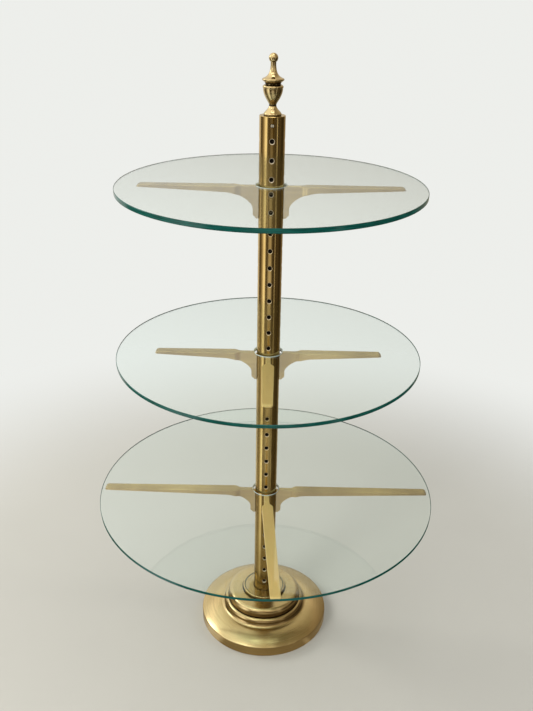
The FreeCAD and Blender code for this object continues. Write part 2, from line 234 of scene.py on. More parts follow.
def turned(name, outline, segments=128, shaded=True):
    """Turned piece about Z: a circle is extruded and scaled from point to point of an outline in millimetres.

    An outline that ends where it starts gives a ring; any other is closed with flat or pointed ends."""
    outline = [(r * MM, z * MM) for r, z in outline]
    closed = math.dist(outline[0], outline[-1]) < SAME_PLACE
    deselect()
    r, z = outline[0]
    bpy.ops.mesh.primitive_circle_add(
        vertices=segments, radius=r, location=(0, 0, z), fill_type="NOTHING" if closed else "NGON"
    )
    obj = settle(named(name))
    bpy.ops.object.mode_set(mode="EDIT")
    bpy.ops.mesh.select_mode(type="EDGE")
    bpy.ops.mesh.select_all(action="SELECT")
    for next_r, next_z in outline[1:]:
        bpy.ops.mesh.extrude_edges_move(TRANSFORM_OT_translate={"value": (0, 0, next_z - z)})
        share = next_r / r
        if abs(share - 1) > NOUGHT:
            bpy.ops.transform.resize(value=(share, share, 1), center_override=(0, 0, next_z))
        r, z = max(next_r, NOUGHT), next_z
    if not closed and r > SAME_PLACE:
        bpy.ops.mesh.edge_face_add()
    bpy.ops.mesh.select_mode(type="VERT")
    bpy.ops.mesh.select_all(action="SELECT")
    bpy.ops.mesh.remove_doubles(threshold=SAME_PLACE)
    bpy.ops.mesh.normals_make_consistent(inside=False)
    bpy.ops.object.mode_set(mode="OBJECT")
    return smooth(obj) if shaded else obj


def copy_of(obj, name, degrees=0.0, lift=0.0):
    """Copy with its own mesh, turned about the column and lifted."""
    twin = obj.copy()
    twin.data = obj.data.copy()
    twin.name = name
    twin.data.name = name
    bpy.context.scene.collection.objects.link(twin)
    twin.matrix_world = lifted(lift) @ rotation(degrees, "Z")
    return settle(twin)


def join(objects, name):
    deselect()
    for obj in objects:
        obj.select_set(True)
    bpy.context.view_layer.objects.active = objects[0]
    bpy.ops.object.join()
    return named(name)


def remove(obj):
    mesh = obj.data
    bpy.data.objects.remove(obj)
    bpy.data.meshes.remove(mesh)


def fit(piece, body, node, material=None):
    """Gives a finished piece its material, its body and the CAD node that it stands for."""
    if material:
        piece.data.materials.clear()
        piece.data.materials.append(material)
        for face in piece.data.polygons:
            face.material_index = 0
    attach(piece, body)
    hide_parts(node)


# ---- Materials ----
GLASS_IOR = 1.52
GRAIN_DEPTH = 0.2 * MM
# Widths in millimetres of the lines of painted shade at joints and grooves
SHADE_LINE_W = SimpleNamespace(plinth=2.6, collar=3.4, column=3.0, dish=1.9, waist=2.5, recess=3.0, foot=1.5)


class Nodes:
    """The node tree of a material or a world, with short calls to add nodes and links."""

    def __init__(self, owner):
        owner.use_nodes = True
        self.owner = owner
        self.tree = owner.node_tree

    def add(self, kind, inputs=(), **settings):
        node = self.tree.nodes.new(kind)
        for key, value in settings.items():
            setattr(node, key, value)
        for key, value in dict(inputs).items():
            self.feed(node.inputs[key], value)
        return node

    def feed(self, socket, value):
        """Links an output to a socket, or sets the socket to a plain value."""
        if isinstance(value, bpy.types.NodeSocket):
            self.tree.links.new(value, socket)
        else:
            socket.default_value = value

    def math(self, operation, first, second):
        return self.add("ShaderNodeMath", {0: first, 1: second}, operation=operation).outputs["Value"]

    def length(self, vector):
        return self.add("ShaderNodeVectorMath", {0: vector}, operation="LENGTH").outputs["Value"]

    def distance(self, vector, place):
        return self.add("ShaderNodeVectorMath", {0: vector, 1: place}, operation="DISTANCE").outputs["Value"]

    def place(self, scale=(1, 1, 1), turn=0.0):
        """Object coordinates, stretched and turned about Z."""
        coordinates = self.add("ShaderNodeTexCoord")
        turned_by = (0, 0, math.radians(turn))
        mapping = self.add("ShaderNodeMapping", {"Vector": coordinates.outputs["Object"], "Rotation": turned_by})
        return self.add(
            "ShaderNodeVectorMath", {0: mapping.outputs["Vector"], 1: scale}, operation="MULTIPLY"
        ).outputs["Vector"]

    def radial(self, across, up):
        """Coordinates that change with the distance from the column's axis and with height."""
        parts = self.add("ShaderNodeSeparateXYZ", {"Vector": self.place()})
        flat = self.add("ShaderNodeCombineXYZ", {"X": parts.outputs["X"], "Y": parts.outputs["Y"]})
        wide = self.math("MULTIPLY", self.length(flat.outputs["Vector"]), across)
        high = self.math("MULTIPLY", parts.outputs["Z"], up)
        return self.add("ShaderNodeCombineXYZ", {"X": wide, "Z": high}).outputs["Vector"]

    def noise(self, vector, scale, detail=3.0, rough=0.5):
        return self.add(
            "ShaderNodeTexNoise", {"Vector": vector, "Scale": scale, "Detail": detail, "Roughness": rough}
        ).outputs["Fac"]

    def ramp(self, value, low, high, low_at=0.0, high_at=1.0):
        return self.add(
            "ShaderNodeMapRange",
            {"Value": value, "From Min": low_at, "From Max": high_at, "To Min": low, "To Max": high},
        ).outputs["Result"]

    def mix(self, share, first, second, blend="MIX"):
        node = self.add("ShaderNodeMix", data_type="RGBA", blend_type=blend)
        for index, value in ((0, share), (6, first), (7, second)):
            self.feed(node.inputs[index], value)
        return node.outputs[2]

    def bump(self, height, strength, distance):
        return self.add(
            "ShaderNodeBump", {"Height": height, "Strength": strength, "Distance": distance}
        ).outputs["Normal"]

    def joint_shade_lines(self, joints):
        """Share of painted shade along joints and grooves round the column, each given as radius, height and width
        in millimetres.
        """
        place = self.radial(1.0, 1.0)
        painted_shade = None
        for radius, height, width in joints:
            away = self.distance(place, (radius * MM, 0.0, height * MM))
            line = self.ramp(away, 1.0, 0.0, width * MM * 0.35, width * MM)
            painted_shade = self.math("MAXIMUM", painted_shade, line) if painted_shade else line
        return painted_shade

    def seen(self):
        """1 for what the camera, metal and glass see, and 0 for the light that falls on things."""
        path = self.add("ShaderNodeLightPath").outputs
        direct = self.math("MAXIMUM", path["Is Camera Ray"], path["Is Glossy Ray"])
        return self.math("MAXIMUM", direct, path["Is Transmission Ray"])

    def blend(self, share, first, second, output="Material Output"):
        """Mixes two shaders and sends the result to the output."""
        mixed = self.add("ShaderNodeMixShader", {"Fac": share, 1: first, 2: second})
        self.tree.links.new(mixed.outputs["Shader"], self.tree.nodes[output].inputs["Surface"])

    def finish(self, **sockets):
        """Sets the sockets of the material's own shader."""
        shader = self.tree.nodes["Principled BSDF"]
        for key, value in sockets.items():
            self.feed(shader.inputs[key.replace("_", " ")], value)
        return self.owner


def new_material(name):
    return Nodes(bpy.data.materials.new(name))


def opaque(colour):
    return (*colour, 1.0)


def shade(colour, share):
    """A darker or paler version of a colour."""
    return [c * share for c in colour]


def brass(name, bright, aged, lines, rough, line_bump=0.05, patches=9.0, joints=(), metal=1.0, wear=1.0):
    """Lacquered brass: darkened patches, fine working lines and a roughness that follows both.

    lines is how the metal was worked: turned, drawn, polished, or a turn in degrees for brushing along an arm.
    joints are the joints and grooves that get a near-black line of painted shade, and wear is how far the metal has
    darkened."""
    nodes = new_material(name)
    if lines == "turned":
        grain = nodes.noise(nodes.radial(2600.0, 2600.0), 1.0, 2.0)
        bands = nodes.noise(nodes.radial(210.0, 210.0), 1.0, 2.0)
    elif lines == "drawn":
        grain = nodes.noise(nodes.place((1500.0, 1500.0, 6.0)), 1.0, 2.0)
        bands = nodes.noise(nodes.place((160.0, 160.0, 2.0)), 1.0, 2.0)
    elif lines == "polished":
        grain = nodes.noise(nodes.place(), 45.0, 1.0)
        bands = nodes.noise(nodes.radial(60.0, 60.0), 1.0, 1.0)
    else:
        grain = nodes.noise(nodes.place((22.0, 1900.0, 1900.0), -lines), 1.0, 2.0)
        bands = nodes.noise(nodes.place((5.0, 160.0, 160.0), -lines), 1.0, 2.0)
    patch = nodes.noise(nodes.place(), patches)
    speck = nodes.noise(nodes.place(), 420.0, 2.0)
    age = nodes.ramp(patch, 0.0, wear, 0.38, 0.72)
    colour = nodes.mix(age, opaque(bright), opaque(aged))
    toned = nodes.mix(nodes.ramp(bands, 0.0, 0.35 * wear, 0.35, 0.75), colour, opaque(aged))
    spots = nodes.ramp(speck, 0.0, 0.25 * wear, 0.70, 0.80)
    final = nodes.mix(spots, toned, opaque(shade(aged, 0.55)))
    if joints:
        # Painted shade: a near-black line along each joint and groove, where shade falls between parts.
        final = nodes.mix(nodes.joint_shade_lines(joints), final, opaque(shade(aged, 0.12)))
    mixed = nodes.mix(0.5, nodes.mix(0.5, grain, bands), patch)
    low, high = rough
    return nodes.finish(
        Base_Color=final,
        Metallic=metal,
        Roughness=nodes.ramp(mixed, low, high, 0.35, 0.65),
        Normal=nodes.bump(grain, line_bump, GRAIN_DEPTH),
        Coat_Weight=0.06,
        Coat_Roughness=0.08,
    )


def bore_shade(name):
    """Painted shade: near-black for the floors of the blind peg holes and the screw's seat, standing for the
    shadowed inside of the tube.
    """
    nodes = new_material(name)
    shade_mottle = nodes.noise(nodes.place(), 700.0, 2.0)
    tone = nodes.mix(shade_mottle, (0.004, 0.003, 0.002, 1.0), (0.012, 0.009, 0.006, 1.0))
    return nodes.finish(Base_Color=tone, Roughness=1.0, Specular_IOR_Level=0.0)


def steel(name, colour, rough):
    nodes = new_material(name)
    grain = nodes.noise(nodes.place((900.0, 900.0, 900.0)), 1.0, 2.0)
    tone = nodes.mix(nodes.ramp(grain, 0.0, 0.5, 0.3, 0.7), opaque(colour), opaque(shade(colour, 0.7)))
    return nodes.finish(
        Base_Color=tone, Metallic=1.0, Roughness=nodes.ramp(grain, rough, rough + 0.15, 0.3, 0.7),
        Normal=nodes.bump(grain, 0.05, GRAIN_DEPTH),
    )


def cast_iron(name):
    nodes = new_material(name)
    sand = nodes.noise(nodes.place(), 320.0, 6.0, 0.65)
    tone = nodes.mix(nodes.ramp(sand, 0.0, 1.0, 0.35, 0.7), (0.018, 0.018, 0.02, 1.0), (0.05, 0.045, 0.042, 1.0))
    return nodes.finish(Base_Color=tone, Roughness=0.75, Normal=nodes.bump(sand, 0.6, 0.0008))


def felt(name):
    nodes = new_material(name)
    fibre = nodes.noise(nodes.place(), 900.0, 5.0, 0.7)
    tone = nodes.mix(nodes.ramp(fibre, 0.0, 1.0, 0.3, 0.7), (0.012, 0.03, 0.016, 1.0), (0.03, 0.06, 0.032, 1.0))
    return nodes.finish(
        Base_Color=tone, Roughness=0.95, Sheen_Weight=0.4, Normal=nodes.bump(fibre, 0.7, 0.0006)
    )


def clear_glass(name, tint):
    """Float glass: clear, with the faintest waviness and a few wipe marks."""
    nodes = new_material(name)
    wave = nodes.noise(nodes.place(), 5.0, 1.0)
    wipe = nodes.noise(nodes.place((3.0, 22.0, 3.0), 35.0), 1.0, 4.0)
    return nodes.finish(
        Base_Color=opaque(tint),
        Roughness=nodes.ramp(wipe, 0.0, 0.012, 0.55, 0.8),
        IOR=GLASS_IOR,
        Transmission_Weight=1.0,
        Normal=nodes.bump(wave, 0.04, 0.001),
    )


def hole_edge(name):
    """The matt ground edge of a disc's hole, which catches the light."""
    nodes = new_material(name)
    grain = nodes.noise(nodes.place(), 800.0, 3.0)
    tone = nodes.mix(grain, (0.62, 0.80, 0.75, 1.0), (0.86, 0.95, 0.92, 1.0))
    return nodes.finish(Base_Color=tone, Roughness=0.4, IOR=GLASS_IOR, Normal=nodes.bump(grain, 0.1, GRAIN_DEPTH))


def glass_edge(name, colour):
    """The ground edge, where a long way through the glass makes it deep green."""
    nodes = new_material(name)
    streak = nodes.noise(nodes.place((40.0, 40.0, 700.0)), 1.0, 3.0)
    share = nodes.ramp(streak, 0.0, 1.0, 0.3, 0.7)
    tone = nodes.mix(share, opaque(shade(colour, 0.6)), opaque(shade(colour, 1.5)))
    return nodes.finish(
        Base_Color=tone, Roughness=nodes.ramp(streak, 0.08, 0.2, 0.3, 0.7), Specular_IOR_Level=0.3,
    )


def base_joints():
    """Joints between the base's pieces that get a line of painted shade, as radius, height and width."""
    dish = COLLAR_TOP / MM - BASE.collar_dish
    collar = COLUMN_R / MM + BASE.collar_width
    return (
        (BASE.plinth_r, SHELL_TOP / MM, SHADE_LINE_W.plinth),
        (collar, PLINTH_TOP / MM, SHADE_LINE_W.collar),
        (COLUMN_R / MM, dish, SHADE_LINE_W.column),
        (collar - BASE.collar_rim - BASE.collar_dish, dish, SHADE_LINE_W.dish),
    )


def finial_joints():
    """Grooves of the finial and its foot's joint, which get a line of painted shade, as radius, height and width."""
    f, foot = FINIAL, COLUMN_TOP / MM
    waist = foot + f.foot_h + f.flare_h
    recess = waist + f.vase_h + f.lip_h
    return (
        (f.waist_r, waist, SHADE_LINE_W.waist),
        (f.recess_r, recess, SHADE_LINE_W.recess),
        (f.recess_r, recess + f.recess_h, SHADE_LINE_W.recess),
        (f.foot_r, foot, SHADE_LINE_W.foot),
    )


def arm_brass(arm, aged):
    """Brushed brass for each side, so that the brushing runs along the arm; the front arms get a paler, less
    metallic brass, painted light that stands in for the sun on them.
    """
    for side, azimuth in AZIMUTHS.items():
        clean, dark, metal = arm, aged, 0.88
        # Painted light: the front arms are made paler and less metallic so that they look sunlit.
        if side == "front":
            clean, dark, metal = (min(1.14 * arm[0], 1.0), arm[1], arm[2]), arm, 0.25
        brass(f"arm_brass_{side}", clean, dark, azimuth, (0.34, 0.46), 0.10, 6.0, metal=metal)


def materials():
    """The finishes, made once and then found by name."""
    made = bpy.data.materials
    if "tube_brass" not in made:
        colours = bpy.context.scene.etagere_brass
        shelves = bpy.context.scene.etagere_shelves
        bright, aged, arm = tuple(colours.bright), tuple(colours.aged), tuple(colours.cast)
        satin, dull = tuple(colours.satin), tuple(colours.dull)
        # Painted highlight: the chamfers round the peg holes get a paler, less metallic brass, so that they show as
        # a ring of light.
        pale = [0.38 + c * 0.5 for c in bright]
        brass("tube_brass", bright, aged, "drawn", (0.10, 0.20), 0.03, 6.0)
        brass("chamfer_brass", pale, bright, "polished", (0.40, 0.50), 0.0, 6.0, metal=0.4)
        bore_shade("bore_shade")
        brass("base_brass", satin, dull, "turned", (0.17, 0.28), 0.05, 5.0, base_joints())
        clean = shade(satin, 0.84)
        brass("finial_brass", clean, dull, "polished", (0.13, 0.17), 0.0, 14.0, finial_joints(), wear=0.4)
        arm_brass(arm, aged)
        steel("bright_steel", (0.62, 0.60, 0.56), 0.18)
        steel("zinc_steel", (0.56, 0.57, 0.58), 0.32)
        steel("screw_metal", (0.90, 0.84, 0.70), 0.45)
        cast_iron("rough_iron")
        felt("green_felt")
        clear_glass("shelf_glass", tuple(shelves.glass))
        glass_edge("glass_edge", tuple(shelves.edge))
        hole_edge("hole_edge")
    return made


# ---- Column ----
# Millimetres of wall left under each peg hole, whose floor is painted shade instead of an opening
BORE_SKIN = 0.25
END_BEVEL = 0.6
SCREW = SimpleNamespace(
    shank_r=2.0, shank=11.0, cone=1.3, edge=0.15, slot_w=1.2, slot_deep=0.9, seat_deep=3.0,
    gap=0.5, play=0.1,
)


def hole_cutter(name, bore, chamfer, deep):
    """One turned cutter for a peg hole with its chamfer, made along Z and then laid out along +X."""
    surface = COLUMN_R / MM
    r = bore / 2 / MM
    c = chamfer / MM
    outline = [(r, surface - deep), (r, surface - c), (r + c, surface), (r + c + 1, surface + 1)]
    cutter = turned(name, outline, 32, shaded=False)
    for finish in ("tube_brass", "chamfer_brass", "bore_shade"):
        cutter.data.materials.append(materials()[finish])
    for face in cutter.data.polygons:
        slope = abs(face.normal.z)
        # The chamfer faces take the painted highlight, and the hole's floor the painted shade of bore_shade.
        face.material_index = 2 if slope > 0.9 else 1 if slope > 0.2 else 0
    cutter.matrix_world = rotation(90, "Y")
    return settle(cutter)


class ETAGERE_OT_column(bpy.types.Operator):
    """Drilled tube with four rows of chamfered peg holes, and the small screw near its top"""

    bl_idname = "etagere.column"
    bl_label = "Column"

    def execute(self, context):
        sizes = context.scene.etagere_column
        outer, inner = COLUMN_R / MM, (COLUMN_R - sizes.wall) / MM
        foot, top = COLUMN_FOOT / MM, COLUMN_TOP / MM
        first = LOWEST_HOLE / MM
        pitch = HOLE_PITCH / MM
        breaks = [first + pitch * (k - 0.5) for k in range(HOLES_PER_ROW + 1)]
        outline = [(outer, foot), *((outer, z) for z in breaks), (outer, top - END_BEVEL), (outer - END_BEVEL, top)]
        outline += [(inner, top), *((inner, z) for z in reversed(breaks)), (inner, foot), (outer, foot)]
        tube = turned("column_tube", outline, 192, shaded=False)
        tube.data.materials.append(materials()["tube_brass"])
        hole = hole_cutter("hole_cutter", sizes.hole, sizes.chamfer, sizes.wall / MM - BORE_SKIN)
        rows = []
        for side, azimuth in AZIMUTHS.items():
            row = copy_of(hole, f"cutter_{side}", azimuth, LOWEST_HOLE)
            modify(
                row, "ARRAY", count=HOLES_PER_ROW, use_relative_offset=False, use_constant_offset=True,
                constant_offset_displace=(0, 0, HOLE_PITCH),
            )
            rows.append(row)
        remove(hole)
        cut(tube, join(rows, "hole_cutters"))
        low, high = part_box("top_plug_screw")
        head = (high.z - low.z) / 2 / MM
        face = -low.y / MM
        ahead = lifted((low.z + high.z) / 2) @ rotation(90, "X")
        self.screw_seat(tube, face, head, ahead)
        smooth(tube, 28, weighted=False)
        fit(tube, "stand", "column")
        self.screw(face, head, ahead)
        return {"FINISHED"}

    def screw_seat(self, tube, face, head, ahead):
        """Countersink in the tube, a little wider than the screw's head, with near-black painted shade inside, so
        that a dark ring shows round the head.
        """
        shank, rim = SCREW.shank_r + SCREW.play, head + SCREW.gap
        outline = [(shank, face - SCREW.seat_deep), (shank, face - SCREW.cone)]
        outline += [(rim, face - SCREW.gap), (rim, face + 2)]
        seat = turned("screw_seat", outline, 48, shaded=False)
        seat.data.materials.append(materials()["bore_shade"])
        seat.matrix_world = ahead
        cut(tube, settle(seat))

    def screw(self, face, head, ahead):
        """Countersunk screw with a slot, flush with the tube."""
        shank, edge = SCREW.shank_r, SCREW.edge
        outline = [(shank, face - SCREW.shank), (shank, face - SCREW.cone)]
        outline += [(head - edge, face - edge), (head - 2 * edge, face)]
        screw = turned("plug_screw", outline, 48, shaded=False)
        deselect()
        bpy.ops.mesh.primitive_cube_add(size=1, location=(0, 0, face * MM))
        slot = named("screw_slot")
        slot.scale = (SCREW.slot_w * MM, 4 * head * MM, 2 * SCREW.slot_deep * MM)
        cut(screw, settle(slot))
        screw.matrix_world = ahead
        smooth(settle(screw))
        fit(screw, "stand", "top_plug_screw", materials()["screw_metal"])


# ---- Finial ----
FINIAL = SimpleNamespace(
    foot_r=17.3, foot_h=4.2, foot_edge=0.84, flare_h=14.3, waist_r=7.0, vase_r=19.0,
    vase_h=30.0, lip_proud=0.9, lip_h=4.9, recess_r=15.1, recess_h=4.2, flange_r=21.2,
    flange_h=8.2, flange_edge=1.6, neck_r=5.3, neck_h=23.4, ball_r=8.8, ball_lift=12.0,
)
STUD = SimpleNamespace(r=4.0, pitch=1.25, deep=0.68)


class ETAGERE_OT_finial(bpy.types.Operator):
    """Turned finial with its foot, vase, flange and ball, on a threaded stud"""

    bl_idname = "etagere.finial"
    bl_label = "Finial"

    def execute(self, context):
        f = FINIAL
        base = COLUMN_TOP / MM
        foot = base + f.foot_h
        waist = foot + f.flare_h
        vase = waist + f.vase_h
        lip = vase + f.lip_h
        recess = lip + f.recess_h
        flange = recess + f.flange_h
        ball = flange + f.neck_h + f.ball_lift
        foot_r = f.foot_r - f.foot_edge
        flange_r = f.flange_r - f.flange_edge
        half = f.flange_h / 2
        start = math.degrees(math.acos(f.neck_r / f.ball_r))
        outline = arc_through((foot_r, base), (f.foot_r, (base + foot) / 2), (foot_r, foot), 8)
        outline += bend((foot_r, foot), (f.waist_r, waist), ((0.3, 0.3), (1.0, 0.55)), 16)
        outline += bend((f.waist_r, waist), (f.vase_r, vase), ((0.0, 0.15), (1.0, 0.5)), 22)
        lip_mid = (f.vase_r + f.lip_proud, (vase + lip) / 2)
        outline += arc_through((f.vase_r, vase), lip_mid, (f.vase_r - f.lip_proud / 2, lip), 8)
        outline += [(f.recess_r, (lip + recess) / 2), (f.recess_r, recess), (flange_r, flange - half)]
        outline += arc_through((flange_r, flange - half), (f.flange_r, flange - half / 2), (flange_r, flange), 8)
        outline += bend((flange_r, flange), (f.neck_r, flange + f.neck_h), ((0.78, 0.18), (0.94, 0.44)), 18)
        outline += arc((0, ball), f.ball_r, -start, 90, 20)
        outline[-1] = (0, ball + f.ball_r)
        clean = [outline[0]]
        for point in outline[1:]:
            if math.dist(point, clean[-1]) * MM > NOUGHT:
                clean.append(point)
        finial = turned("turned_finial", clean, 128)
        fit(finial, "finial", "finial", materials()["finial_brass"])
        self.stud()
        return {"FINISHED"}

    def stud(self):
        """Stud with its screw thread."""
        low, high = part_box("finial_stud")
        r, pitch, deep = STUD.r, STUD.pitch, STUD.deep
        foot, top = low.z / MM, high.z / MM
        outline = [(r - deep, foot)]
        for k in range(int((top - foot) / pitch)):
            z = foot + k * pitch
            outline += [(r, z + pitch * 0.45), (r, z + pitch * 0.58), (r - deep, z + pitch)]
        outline.append((r - deep, top))
        stud = turned("threaded_stud", outline, 48)
        fit(stud, "finial_stud", "finial_stud", materials()["zinc_steel"])


# ---- Base ----
BASE = SimpleNamespace(
    ledge=0.6, shoulder_r=9.0, tier_band=1.0, cove_r=9.0, dome_r=94.0, dome_fall=59.0,
    rim_round=2.5, rim_h=24.5, rim_lift=0.8, shell_t=3.0, plinth_r=90.5, plinth_round=12.0,
    plinth_bevel=0.8, collar_width=28.0, collar_rim=3.5, collar_dish=1.2, bore_gap=0.1,
    bolt_hole=6.5,
)


class ETAGERE_OT_base(bpy.types.Operator):
    """Turned shell with its tier, cove, dome and rim, the plinth on it and the collar round the column"""

    bl_idname = "etagere.base"
    bl_label = "Base"

    def execute(self, context):
        b = BASE
        top = SHELL_TOP / MM
        plinth_top = PLINTH_TOP / MM
        collar_top = COLLAR_TOP / MM
        brass_turned = materials()["base_brass"]
        bore = COLUMN_R / MM + b.bore_gap

        ledge = b.plinth_r + b.ledge
        tier = ledge + b.shoulder_r
        shoulder = top - b.shoulder_r
        cove = shoulder - b.tier_band
        dome_x = tier + b.cove_r
        crest = cove - b.cove_r
        centre = (dome_x, crest - b.dome_r)
        fall = math.radians(b.dome_fall)
        rim_x = dome_x + (b.dome_r - b.rim_round) * math.cos(fall)
        outer = rim_x + b.rim_round
        wall = b.shell_t
        outline = [(b.bolt_hole, top), (ledge, top)]
        outline += arc((ledge, shoulder), b.shoulder_r, 90, 0, 12)[1:]
        outline += arc((dome_x, cove), b.cove_r, 180, 270, 12)
        outline += arc(centre, b.dome_r, 90, b.dome_fall, 16)[1:]
        outline += arc((rim_x, b.rim_h), b.rim_round, b.dome_fall, 0, 6)[1:]
        outline += [(outer, b.rim_lift), (outer - wall, b.rim_lift)]
        inner_end = math.degrees(math.acos((outer - wall - dome_x) / (b.dome_r - wall)))
        outline += arc(centre, b.dome_r - wall, inner_end, 90, 10)
        outline += arc((dome_x, cove), b.cove_r + wall, 270, 180, 8)[1:]
        outline += arc((ledge, shoulder), b.shoulder_r - wall, 0, 90, 8)
        outline += [(b.bolt_hole, top - wall), (b.bolt_hole, top)]
        shell = turned("base_cover", outline, 192)
        fit(shell, "stand", "base_shell", brass_turned)

        edge = b.plinth_r - b.plinth_round
        outline = [(bore, plinth_top), (bore, top), (b.plinth_r - b.plinth_bevel, top)]
        outline += [(b.plinth_r, top + b.plinth_bevel)]
        outline += arc((edge, plinth_top - b.plinth_round), b.plinth_round, 0, 90, 14)
        outline += [(bore, plinth_top)]
        plinth = turned("plinth_disc", outline, 192)
        fit(plinth, "stand", "plinth", brass_turned)

        rim_outer = COLUMN_R / MM + b.collar_width
        rim = rim_outer - b.collar_rim
        dish = collar_top - b.collar_dish
        half = b.collar_rim / 2
        outline = [(bore, dish), (bore, plinth_top), (rim_outer, plinth_top)]
        outline += arc((rim_outer - half, collar_top - half), half, 0, 90, 8)
        outline += arc_through((rim, collar_top), (rim - 0.35, dish + 0.3), (rim - b.collar_dish, dish), 6)
        outline += [(bore, dish)]
        collar = turned("collar_ring", outline, 160)
        fit(collar, "stand", "column_collar", brass_turned)
        return {"FINISHED"}


# ---- Arms ----
ARM = SimpleNamespace(
    foot_depth=11.0, foot_h=65.0, foot_chamfer=7.0, neck_half=5.5, neck=32.6, shoulder=18.0,
    root_w=26.0, tip_w=22.0, root_t=11.5, tip_t=4.5, curve=58.0, drop=34.0, pull=0.5,
    ease=0.6, roll=9.0, corner=6.0, seat=0.3, draft=0.2, lower_round=0.8, lean=3.5, air=0.2,
    shortest=0.12, thinnest=0.05,
)
PEG = SimpleNamespace(reach=11.4, bevel=1.0, tail_r=2.75, tail=7.8)
# Share of an edge's radius by which the bevel of a square corner is set back
CORNER_SETBACK = 0.586


def between(x, points):
    """Height of a line of points at x."""
    for (x0, y0), (x1, y1) in zip(points, points[1:]):
        if x0 <= x <= x1:
            return y0 + (y1 - y0) * (x - x0) / (x1 - x0) if x1 > x0 else y1
    return points[-1][1]


def arm_stations(reach):
    """Sections along an arm in millimetres, as (distance, half width, top, underside)."""
    a = ARM
    column = COLUMN_R / MM
    foot = column + a.foot_depth
    curve = foot + a.curve
    neck = column + a.neck
    blade = neck + a.shoulder
    turn = math.acos(1 - a.tip_t / a.roll)
    roll_x = reach - a.roll * math.sin(turn)
    corner_x = reach - a.corner
    slope = (a.root_t - a.tip_t) / (reach - curve)
    kept = a.pull * a.curve * slope / a.drop
    gusset = bend((curve, -a.root_t), (foot + a.draft, -a.root_t - a.drop),
                  ((a.pull, kept), (1.0, a.ease)), 24)
    under = [(column / 2, -a.foot_h), (foot - a.foot_chamfer, -a.foot_h)]
    under += [(foot, a.foot_chamfer - a.foot_h)] + gusset[::-1] + [(reach, -a.tip_t)]
    waist = bend((neck, a.neck_half), (blade, a.root_w / 2), ((0.5, 0.0), (0.5, 1.0)), 12)
    plan = [(column / 2, a.neck_half)] + waist + [(corner_x, a.tip_w / 2)]
    steps = [math.radians(90 * k / 8) for k in range(1, 9)]
    xs = {x for x, _ in under[1:-1]} | {x for x, _ in waist} | {column - 6, corner_x, roll_x}
    xs |= {corner_x + a.corner * math.sin(s) for s in steps}
    xs |= {roll_x + (reach - roll_x) * k / 8 for k in range(1, 8)}
    sections = []
    for x in sorted(xs):
        if sections and x - sections[-1][0] < a.shortest:
            continue
        top = 0.0 if x <= roll_x else math.sqrt(a.roll ** 2 - (x - roll_x) ** 2) - a.roll
        half = between(x, plan)
        if x > corner_x:
            half = a.tip_w / 2 - a.corner + math.sqrt(max(a.corner ** 2 - (x - corner_x) ** 2, 0))
        sections.append((x, half, top, between(x, under)))
    return sections


def arm_casting(name, reach, height, edge_round):
    """One arm along +X: a rounded section is extruded from place to place and widened, thinned or rolled."""
    sections = arm_stations(reach)
    x, half, top, low = sections[0]
    deselect()
    bpy.ops.mesh.primitive_plane_add(size=1, location=(0, 0, 0))
    arm = named(name)
    bpy.ops.object.mode_set(mode="EDIT")
    bpy.ops.transform.resize(value=(-low * MM, 2 * half * MM, 1))
    bpy.ops.object.mode_set(mode="OBJECT")
    arm.matrix_world = Matrix.Translation((x * MM, 0, low / 2 * MM)) @ rotation(90, "Y")
    settle(arm)
    bpy.ops.object.mode_set(mode="EDIT")
    bpy.ops.mesh.select_mode(type="VERT")
    middle = low / 2 * MM
    for upper, radius, segments in ((True, edge_round, 5), (False, ARM.lower_round * MM, 3)):
        pick(arm, lambda p, upper=upper: (p.z > middle) == upper)
        bpy.ops.mesh.bevel(
            affect="VERTICES", offset_type="OFFSET", offset=radius * CORNER_SETBACK, segments=segments, profile=0.5
        )
    bpy.ops.mesh.select_all(action="SELECT")
    for next_x, next_half, next_top, next_low in sections[1:]:
        bpy.ops.mesh.extrude_region_move(TRANSFORM_OT_translate={"value": ((next_x - x) * MM, 0, 0)})
        here = next_x * MM
        split = (top + low) / 2 * MM

        def cap(p):
            """Whether a vertex belongs to the newest section."""
            return p.x > here - ARM.shortest / 2 * MM

        if abs(next_half - half) * MM > NOUGHT:
            shift = (next_half - half) * MM
            for side in (1, -1):
                pick(arm, lambda p, side=side: cap(p) and p.y * side > 0)
                bpy.ops.transform.translate(value=(0, side * shift, 0))
        if abs(next_low - low) * MM > NOUGHT:
            pick(arm, lambda p: cap(p) and p.z < split)
            bpy.ops.transform.translate(value=(0, 0, (next_low - low) * MM))
        if abs(next_top - top) * MM > NOUGHT:
            share = max(next_top - next_low, ARM.thinnest) / (top - next_low)
            pick(arm, cap)
            bpy.ops.transform.resize(value=(1, 1, share), center_override=(here, 0, next_low * MM))
            next_top = next_low + share * (top - next_low)
        pick(arm, cap)
        x, half, top, low = next_x, next_half, next_top, next_low
    bpy.ops.mesh.select_all(action="SELECT")
    bpy.ops.mesh.normals_make_consistent(inside=False)
    bpy.ops.object.mode_set(mode="OBJECT")
    seat = COLUMN_R / MM + ARM.seat
    cut(arm, turned("seat_cutter", [(seat, low - ARM.foot_h - 20), (seat, 20)], 192, shaded=False))
    arm.matrix_world = lifted(height)
    return smooth(settle(arm), 38)


def peg_pair():
    """Two turned pegs along +X, one pitch apart, with the upper one at height 0."""
    inner = COLUMN_R / MM - PEG.reach
    seat = COLUMN_R / MM + ARM.seat
    r, tail, bevel = PEG_R / MM, PEG.tail_r, PEG.bevel
    outline = [(r - bevel, inner), (r - bevel / 3, inner + bevel / 3), (r, inner + bevel), (r, seat), (tail, seat)]
    peg = turned("peg", outline + [(tail, seat + PEG.tail)], 48)
    peg.matrix_world = rotation(90, "Y")
    settle(peg)
    return join([peg, copy_of(peg, "lower_peg", 0, -HOLE_PITCH)], "peg_pair")


